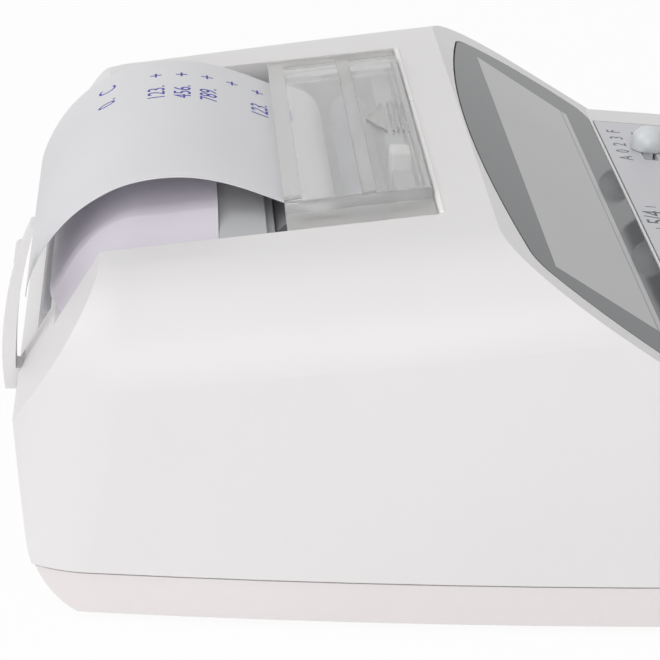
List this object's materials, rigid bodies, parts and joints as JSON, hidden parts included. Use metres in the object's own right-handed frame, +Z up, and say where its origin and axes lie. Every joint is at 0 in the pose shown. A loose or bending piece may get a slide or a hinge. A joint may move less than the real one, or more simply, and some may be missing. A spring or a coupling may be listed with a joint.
{
  "type": "printing calculator",
  "caption": "Desktop printing calculator with sloped display, sprung keys, slide switches, geared roller printer under a clear cover, paper tape and fold-out roll arm.",
  "frame": {"origin": "on the table, under the middle of the machine's overall box", "axes": "+X to the user's right, +Y toward the rear and the paper, +Z up"},
  "size_m": [0.143, 0.2184, 0.0535],
  "materials": {
    "case_white": "fine satin",
    "base_white": "fine satin",
    "cell_wrap": "printed wrap",
    "contact_metal": "plated",
    "foot_rubber": "matt",
    "screw_steel": "zinc plated",
    "lens_grey": "high gloss",
    "lcd_glass": "grey display glass",
    "plate_silver": "satin silver",
    "board_green": "solder mask",
    "mat_rubber": "silicone",
    "frame_dark": "moulded",
    "motor_steel": "drawn can",
    "jack_black": "moulded",
    "tape_paper": "uncoated",
    "platen_rubber": "ground",
    "drum_plastic": "moulded type",
    "ink_foam": "inked foam",
    "gear_white": "moulded",
    "cover_clear": "clear",
    "guide_grey": "fine satin",
    "key_grey": "fine satin",
    "knob_white": "translucent"
  },
  "bodies": {
    "base": {"upper_case": "case_white", "lower_case": "base_white", "battery_cells": "cell_wrap", "battery_contacts": "contact_metal", "rubber_feet": "foot_rubber", "case_screws": "screw_steel", "display_lens": "lens_grey", "lcd_panel": "lcd_glass", "keyboard_plate": "plate_silver", "main_board": "board_green", "key_mat": "mat_rubber", "printer_frame": "frame_dark", "feed_motor": "motor_steel", "adaptor_jack": "jack_black", "paper_tape": "tape_paper", "paper_guide": "guide_grey"},
    "key_feed": {"key_feed": "key_grey"},
    "key_rate": {"key_rate": "key_grey"},
    "key_percent": {"key_percent": "key_grey"},
    "key_sign": {"key_sign": "key_grey"},
    "key_step_back": {"key_step_back": "key_grey"},
    "key_clear_entry": {"key_clear_entry": "key_grey"},
    "key_memory_total": {"key_memory_total": "key_grey"},
    "key_7": {"key_7": "key_grey"},
    "key_8": {"key_8": "key_grey"},
    "key_9": {"key_9": "key_grey"},
    "key_divide": {"key_divide": "key_grey"},
    "key_clear_all": {"key_clear_all": "key_grey"},
    "key_memory_recall": {"key_memory_recall": "key_grey"},
    "key_4": {"key_4": "key_grey"},
    "key_5": {"key_5": "key_grey"},
    "key_6": {"key_6": "key_grey"},
    "key_multiply": {"key_multiply": "key_grey"},
    "key_equals": {"key_equals": "key_grey"},
    "key_memory_minus": {"key_memory_minus": "key_grey"},
    "key_1": {"key_1": "key_grey"},
    "key_2": {"key_2": "key_grey"},
    "key_3": {"key_3": "key_grey"},
    "key_minus": {"key_minus": "key_grey"},
    "key_plus": {"key_plus": "key_grey"},
    "key_memory_plus": {"key_memory_plus": "key_grey"},
    "key_0": {"key_0": "key_grey"},
    "key_00": {"key_00": "key_grey"},
    "key_point": {"key_point": "key_grey"},
    "key_subtotal": {"key_subtotal": "key_grey"},
    "decimal_switch_knob": {"decimal_switch_knob": "knob_white"},
    "rounding_switch_knob": {"rounding_switch_knob": "knob_white"},
    "print_switch_knob": {"print_switch_knob": "knob_white"},
    "platen_roller": {"platen_roller": "platen_rubber"},
    "type_drum": {"type_drum": "drum_plastic"},
    "idler_gear": {"idler_gear": "gear_white"},
    "motor_pinion": {"motor_pinion": "gear_white"},
    "ink_roller": {"ink_roller": "ink_foam"},
    "printer_cover": {"printer_cover": "cover_clear"},
    "roll_arm": {"roll_arm": "case_white"},
    "battery_door": {"battery_door": "base_white"}
  },
  "joints": [
    {"name": "cover_lift", "type": "slide", "parent": "base", "child": "printer_cover", "axis": [0, 0.8192, 0.5736], "range_m": [0, 0.045]},
    {"name": "roll_arm_fold", "type": "hinge", "parent": "base", "child": "roll_arm", "pos_m": [-0.03425, 0.1053, 0.0246], "axis": [-1, 0, 0], "range_deg": [0, 92]},
    {"name": "battery_door_out", "type": "slide", "parent": "base", "child": "battery_door", "axis": [0, 0, -1], "range_m": [0, 0.02]},
    {"name": "decimal_switch_slide", "type": "slide", "parent": "base", "child": "decimal_switch_knob", "axis": [1, 0, 0], "range_m": [-0.0035, 0.0065]},
    {"name": "rounding_switch_slide", "type": "slide", "parent": "base", "child": "rounding_switch_knob", "axis": [1, 0, 0], "range_m": [-0.004, 0.004]},
    {"name": "print_switch_slide", "type": "slide", "parent": "base", "child": "print_switch_knob", "axis": [1, 0, 0], "range_m": [-0.004, 0.004]},
    {"name": "platen_spin", "type": "hinge", "parent": "base", "child": "platen_roller", "pos_m": [0, 0.0645, 0.0422], "axis": [1, 0, 0], "continuous": true},
    {"name": "drum_spin", "type": "hinge", "parent": "base", "child": "type_drum", "pos_m": [0, 0.05503, 0.0366], "axis": [1, 0, 0], "continuous": true},
    {"name": "idler_spin", "type": "hinge", "parent": "base", "child": "idler_gear", "pos_m": [0, 0.04678, 0.02775], "axis": [1, 0, 0], "continuous": true},
    {"name": "pinion_spin", "type": "hinge", "parent": "base", "child": "motor_pinion", "pos_m": [0, 0.05077, 0.01991], "axis": [1, 0, 0], "continuous": true},
    {"name": "ink_spin", "type": "hinge", "parent": "base", "child": "ink_roller", "pos_m": [0, 0.05459, 0.04509], "axis": [1, 0, 0], "continuous": true},
    {"name": "key_feed_press", "type": "slide", "parent": "base", "child": "key_feed", "axis": [0, 0.0698, -0.9976], "range_m": [0, 0.0018], "stiffness_N_per_m": 300, "springref_m": -0.0012},
    {"name": "key_rate_press", "type": "slide", "parent": "base", "child": "key_rate", "axis": [0, 0.0698, -0.9976], "range_m": [0, 0.0018], "stiffness_N_per_m": 300, "springref_m": -0.0012},
    {"name": "key_percent_press", "type": "slide", "parent": "base", "child": "key_percent", "axis": [0, 0.0698, -0.9976], "range_m": [0, 0.0018], "stiffness_N_per_m": 300, "springref_m": -0.0012},
    {"name": "key_sign_press", "type": "slide", "parent": "base", "child": "key_sign", "axis": [0, 0.0698, -0.9976], "range_m": [0, 0.0018], "stiffness_N_per_m": 300, "springref_m": -0.0012},
    {"name": "key_step_back_press", "type": "slide", "parent": "base", "child": "key_step_back", "axis": [0, 0.0698, -0.9976], "range_m": [0, 0.0018], "stiffness_N_per_m": 300, "springref_m": -0.0012},
    {"name": "key_clear_entry_press", "type": "slide", "parent": "base", "child": "key_clear_entry", "axis": [0, 0.0698, -0.9976], "range_m": [0, 0.0018], "stiffness_N_per_m": 300, "springref_m": -0.0012},
    {"name": "key_memory_total_press", "type": "slide", "parent": "base", "child": "key_memory_total", "axis": [0, 0.0698, -0.9976], "range_m": [0, 0.0018], "stiffness_N_per_m": 300, "springref_m": -0.0012},
    {"name": "key_7_press", "type": "slide", "parent": "base", "child": "key_7", "axis": [0, 0.0698, -0.9976], "range_m": [0, 0.0018], "stiffness_N_per_m": 300, "springref_m": -0.0012},
    {"name": "key_8_press", "type": "slide", "parent": "base", "child": "key_8", "axis": [0, 0.0698, -0.9976], "range_m": [0, 0.0018], "stiffness_N_per_m": 300, "springref_m": -0.0012},
    {"name": "key_9_press", "type": "slide", "parent": "base", "child": "key_9", "axis": [0, 0.0698, -0.9976], "range_m": [0, 0.0018], "stiffness_N_per_m": 300, "springref_m": -0.0012},
    {"name": "key_divide_press", "type": "slide", "parent": "base", "child": "key_divide", "axis": [0, 0.0698, -0.9976], "range_m": [0, 0.0018], "stiffness_N_per_m": 300, "springref_m": -0.0012},
    {"name": "key_clear_all_press", "type": "slide", "parent": "base", "child": "key_clear_all", "axis": [0, 0.0698, -0.9976], "range_m": [0, 0.0018], "stiffness_N_per_m": 300, "springref_m": -0.0012},
    {"name": "key_memory_recall_press", "type": "slide", "parent": "base", "child": "key_memory_recall", "axis": [0, 0.0698, -0.9976], "range_m": [0, 0.0018], "stiffness_N_per_m": 300, "springref_m": -0.0012},
    {"name": "key_4_press", "type": "slide", "parent": "base", "child": "key_4", "axis": [0, 0.0698, -0.9976], "range_m": [0, 0.0018], "stiffness_N_per_m": 300, "springref_m": -0.0012},
    {"name": "key_5_press", "type": "slide", "parent": "base", "child": "key_5", "axis": [0, 0.0698, -0.9976], "range_m": [0, 0.0018], "stiffness_N_per_m": 300, "springref_m": -0.0012},
    {"name": "key_6_press", "type": "slide", "parent": "base", "child": "key_6", "axis": [0, 0.0698, -0.9976], "range_m": [0, 0.0018], "stiffness_N_per_m": 300, "springref_m": -0.0012},
    {"name": "key_multiply_press", "type": "slide", "parent": "base", "child": "key_multiply", "axis": [0, 0.0698, -0.9976], "range_m": [0, 0.0018], "stiffness_N_per_m": 300, "springref_m": -0.0012},
    {"name": "key_equals_press", "type": "slide", "parent": "base", "child": "key_equals", "axis": [0, 0.0698, -0.9976], "range_m": [0, 0.0018], "stiffness_N_per_m": 300, "springref_m": -0.0012},
    {"name": "key_memory_minus_press", "type": "slide", "parent": "base", "child": "key_memory_minus", "axis": [0, 0.0698, -0.9976], "range_m": [0, 0.0018], "stiffness_N_per_m": 300, "springref_m": -0.0012},
    {"name": "key_1_press", "type": "slide", "parent": "base", "child": "key_1", "axis": [0, 0.0698, -0.9976], "range_m": [0, 0.0018], "stiffness_N_per_m": 300, "springref_m": -0.0012},
    {"name": "key_2_press", "type": "slide", "parent": "base", "child": "key_2", "axis": [0, 0.0698, -0.9976], "range_m": [0, 0.0018], "stiffness_N_per_m": 300, "springref_m": -0.0012},
    {"name": "key_3_press", "type": "slide", "parent": "base", "child": "key_3", "axis": [0, 0.0698, -0.9976], "range_m": [0, 0.0018], "stiffness_N_per_m": 300, "springref_m": -0.0012},
    {"name": "key_minus_press", "type": "slide", "parent": "base", "child": "key_minus", "axis": [0, 0.0698, -0.9976], "range_m": [0, 0.0018], "stiffness_N_per_m": 300, "springref_m": -0.0012},
    {"name": "key_plus_press", "type": "slide", "parent": "base", "child": "key_plus", "axis": [0, 0.0698, -0.9976], "range_m": [0, 0.0018], "stiffness_N_per_m": 300, "springref_m": -0.0012},
    {"name": "key_memory_plus_press", "type": "slide", "parent": "base", "child": "key_memory_plus", "axis": [0, 0.0698, -0.9976], "range_m": [0, 0.0018], "stiffness_N_per_m": 300, "springref_m": -0.0012},
    {"name": "key_0_press", "type": "slide", "parent": "base", "child": "key_0", "axis": [0, 0.0698, -0.9976], "range_m": [0, 0.0018], "stiffness_N_per_m": 300, "springref_m": -0.0012},
    {"name": "key_00_press", "type": "slide", "parent": "base", "child": "key_00", "axis": [0, 0.0698, -0.9976], "range_m": [0, 0.0018], "stiffness_N_per_m": 300, "springref_m": -0.0012},
    {"name": "key_point_press", "type": "slide", "parent": "base", "child": "key_point", "axis": [0, 0.0698, -0.9976], "range_m": [0, 0.0018], "stiffness_N_per_m": 300, "springref_m": -0.0012},
    {"name": "key_subtotal_press", "type": "slide", "parent": "base", "child": "key_subtotal", "axis": [0, 0.0698, -0.9976], "range_m": [0, 0.0018], "stiffness_N_per_m": 300, "springref_m": -0.0012}
  ],
  "couplings": [
    {"joint": "drum_spin", "follows": "platen_spin", "ratio": -0.81818},
    {"joint": "idler_spin", "follows": "platen_spin", "ratio": 0.81818},
    {"joint": "pinion_spin", "follows": "platen_spin", "ratio": -1.8},
    {"joint": "ink_spin", "follows": "platen_spin", "ratio": 1.2784}
  ]
}
